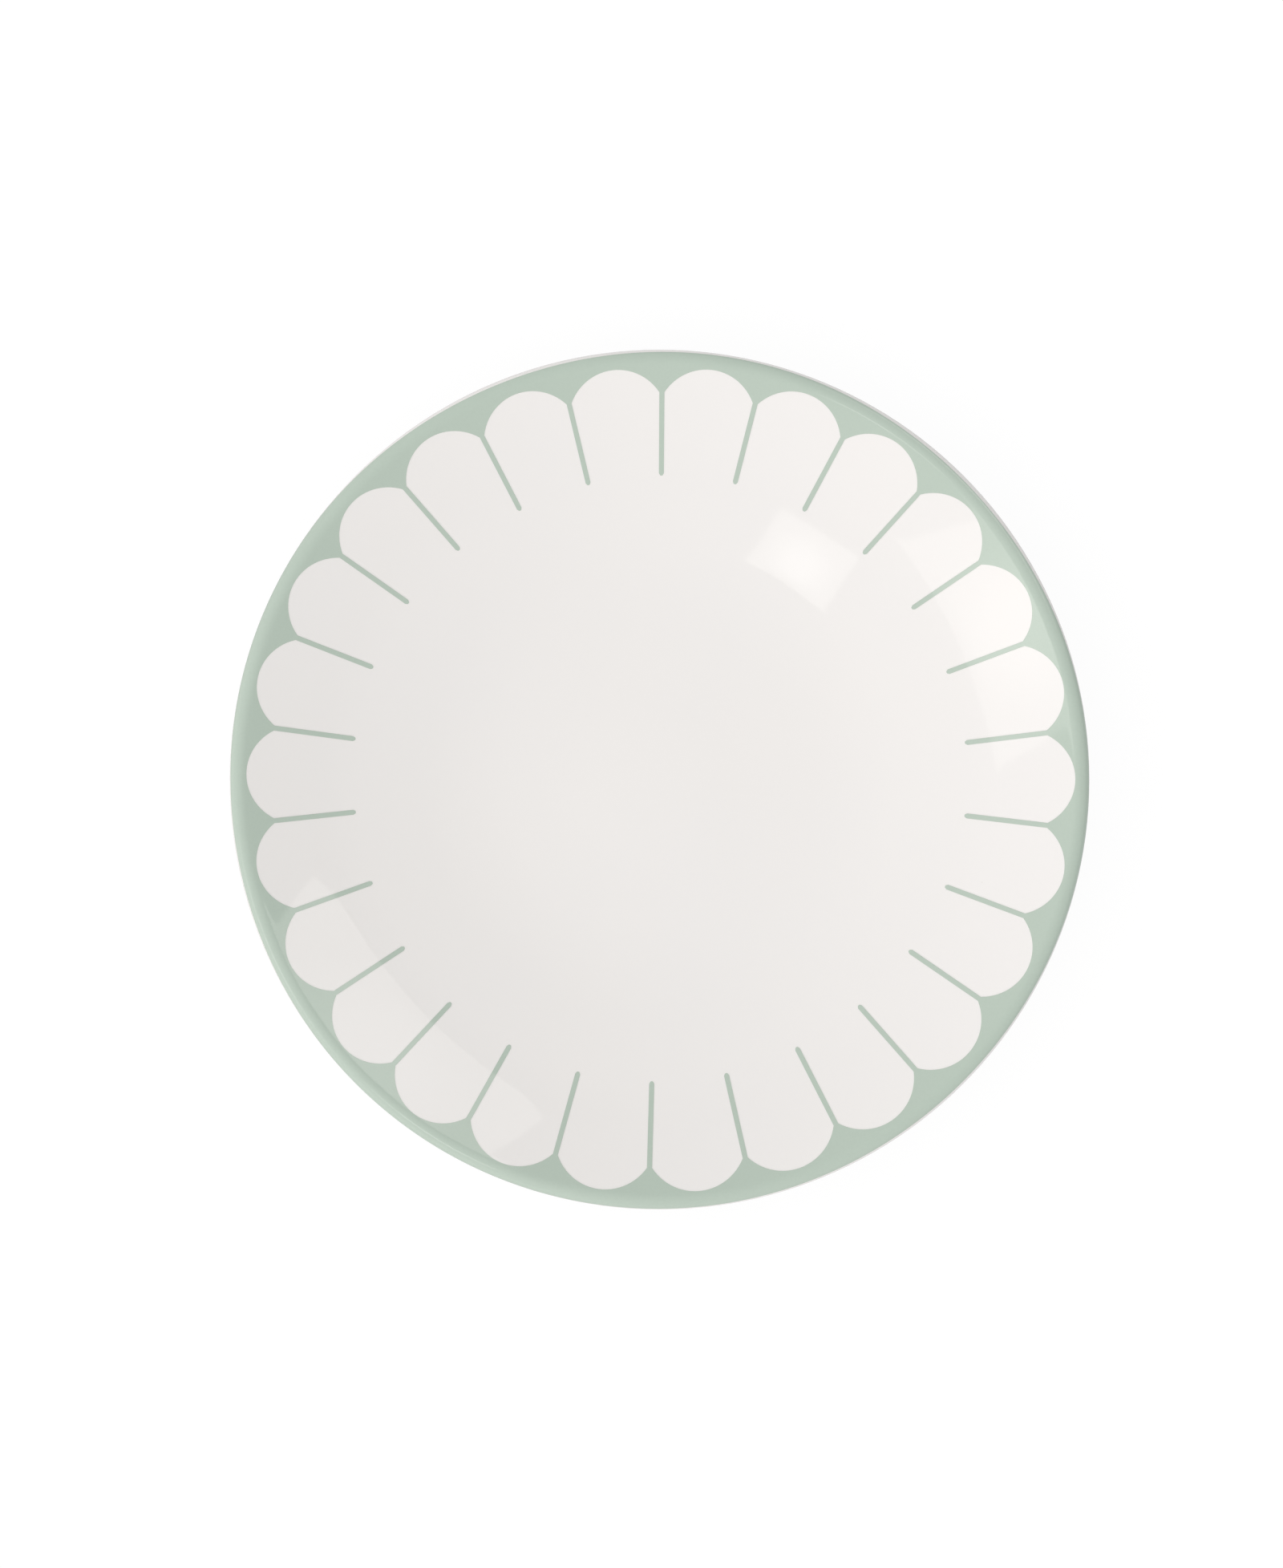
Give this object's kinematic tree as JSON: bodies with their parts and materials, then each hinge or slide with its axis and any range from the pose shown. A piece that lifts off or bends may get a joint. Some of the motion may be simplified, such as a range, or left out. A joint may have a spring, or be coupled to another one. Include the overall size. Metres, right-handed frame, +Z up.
{
  "type": "salad plate",
  "caption": "Round coupe plate of glazed porcelain on a foot ring, with a rounded lip and a printed sage-green scallop border, for serving salads and starters.",
  "frame": {"origin": "centre of the plate at the level of the foot ring's flat face, on the table", "axes": "+Z up along the plate's axis, +X to the right and +Y to the top of the picture"},
  "size_m": [0.216, 0.216, 0.0264],
  "materials": {
    "biscuit_porcelain": "bare fired clay, matt",
    "white_glaze": "clear gloss glaze over warm white porcelain",
    "sage_print": "fired gloss print, sage green"
  },
  "bodies": {
    "root": {"porcelain_body": "biscuit_porcelain", "glaze_coat": "white_glaze", "foot_well_glaze": "white_glaze", "scallop_print": "sage_print"}
  },
  "joints": []
}
